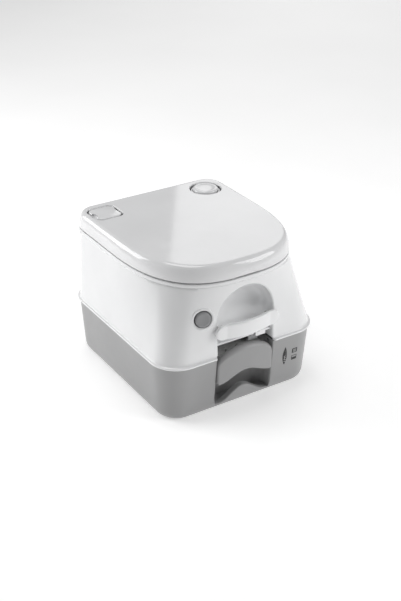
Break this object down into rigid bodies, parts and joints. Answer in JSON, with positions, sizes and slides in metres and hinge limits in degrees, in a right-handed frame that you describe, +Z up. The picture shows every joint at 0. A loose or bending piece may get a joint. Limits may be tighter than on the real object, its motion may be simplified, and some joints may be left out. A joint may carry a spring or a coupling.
{
  "type": "portable flush toilet",
  "caption": "Free-standing cassette toilet: flush section with bowl, hinged seat and lid, pump and button, latched on a waste tank with a slide valve.",
  "frame": {"origin": "middle of the flat underside of the waste tank", "axes": "+Z up, the front with the carry handle and slide valve faces -Y, +X to the right of a person looking at the rear from the front"},
  "size_m": [0.342, 0.386, 0.296],
  "materials": {
    "white_abs": "smooth glossy",
    "lid_abs": "polished gloss",
    "bowl_abs": "polished gloss",
    "gray_tank": "satin",
    "gray_button": "satin",
    "dark_plastic": "satin",
    "light_plastic": "satin",
    "rubber": "matte",
    "steel": "brushed"
  },
  "bodies": {
    "tank": {"waste_tank": "gray_tank", "tank_deck": "gray_tank", "valve_housing": "dark_plastic", "blade_seal": "rubber", "mouth_seal": "rubber", "valve_screws": "steel", "level_window": "dark_plastic", "level_marks": "dark_plastic", "vent_seat": "dark_plastic", "vent_spring": "steel", "spout_socket": "dark_plastic", "spout_seal": "rubber", "latch_keeper": "steel"},
    "slide_valve": {"valve_blade": "light_plastic", "slide_handle": "gray_tank", "blade_screws": "steel"},
    "vent_plunger": {"vent_button": "light_plastic"},
    "spout": {"pour_spout": "light_plastic"},
    "spout_closure": {"spout_cap": "dark_plastic", "spout_cap_seal": "rubber"},
    "flush_section": {"upper_shell": "white_abs", "upper_base": "white_abs", "base_screws": "steel", "rear_tabs": "white_abs", "bowl": "bowl_abs", "rim_nozzle": "dark_plastic", "pump_well": "white_abs", "pump_base": "dark_plastic", "pump_bellows": "rubber", "pickup_tube": "light_plastic", "flush_valve": "dark_plastic", "nozzle_hose": "light_plastic", "button_cup": "gray_button", "button_spring": "steel", "fill_neck": "white_abs", "fill_cap_pin": "steel", "carry_handle": "white_abs", "handle_studs": "steel", "latch_pin": "steel", "hinge_brackets": "white_abs", "hinge_pins": "steel"},
    "latch": {"release_latch": "white_abs"},
    "pump_plunger": {"pump_knob": "lid_abs"},
    "flush_plunger": {"flush_button": "gray_button"},
    "fill_flap": {"fill_cap": "lid_abs", "fill_cap_seal": "rubber"},
    "seat_ring": {"seat": "white_abs", "seat_bumpers": "rubber"},
    "lid_cover": {"lid": "lid_abs", "lid_bumpers": "rubber"}
  },
  "joints": [
    {"name": "section_lift", "type": "slide", "parent": "tank", "child": "flush_section", "axis": [0, 0, 1], "range_m": [0, 0.15]},
    {"name": "valve_slide", "type": "slide", "parent": "tank", "child": "slide_valve", "axis": [0, -1, 0], "range_m": [0, 0.09]},
    {"name": "vent_press", "type": "slide", "parent": "tank", "child": "vent_plunger", "axis": [0, 0, -1], "range_m": [0, 0.0025], "stiffness_N_per_m": 300, "springref_m": -0.0005, "deforming": ["vent_spring"]},
    {"name": "spout_swivel", "type": "hinge", "parent": "tank", "child": "spout", "pos_m": [0.114, 0.155, 0.082], "axis": [0, 0, -1], "range_deg": [0, 90]},
    {"name": "spout_cap_turn", "type": "hinge", "parent": "spout", "child": "spout_closure", "pos_m": [0.03, 0.155, 0.082], "axis": [-1, 0, 0], "range_deg": [0, 90]},
    {"name": "latch_swing", "type": "hinge", "parent": "flush_section", "child": "latch", "pos_m": [0.035, -0.152, 0.137], "axis": [-1, 0, 0], "range_deg": [0, 17]},
    {"name": "pump_press", "type": "slide", "parent": "flush_section", "child": "pump_plunger", "axis": [0, 0, -1], "range_m": [0, 0.018], "stiffness_N_per_m": 400, "springref_m": -0.003, "deforming": ["pump_bellows"]},
    {"name": "flush_press", "type": "slide", "parent": "flush_section", "child": "flush_plunger", "axis": [0.2905, 0.9503, -0.1115], "range_m": [0, 0.007], "stiffness_N_per_m": 300, "springref_m": -0.001, "deforming": ["button_spring"]},
    {"name": "fill_cap_hinge", "type": "hinge", "parent": "flush_section", "child": "fill_flap", "pos_m": [-0.0915, 0.124, 0.2906], "axis": [0, 1, 0], "range_deg": [0, 60]},
    {"name": "seat_hinge", "type": "hinge", "parent": "flush_section", "child": "seat_ring", "pos_m": [0, 0.183, 0.272], "axis": [-1, 0, 0], "range_deg": [0, 95]},
    {"name": "lid_hinge", "type": "hinge", "parent": "seat_ring", "child": "lid_cover", "pos_m": [0, 0.183, 0.272], "axis": [-1, 0, 0], "range_deg": [0, 95]}
  ]
}
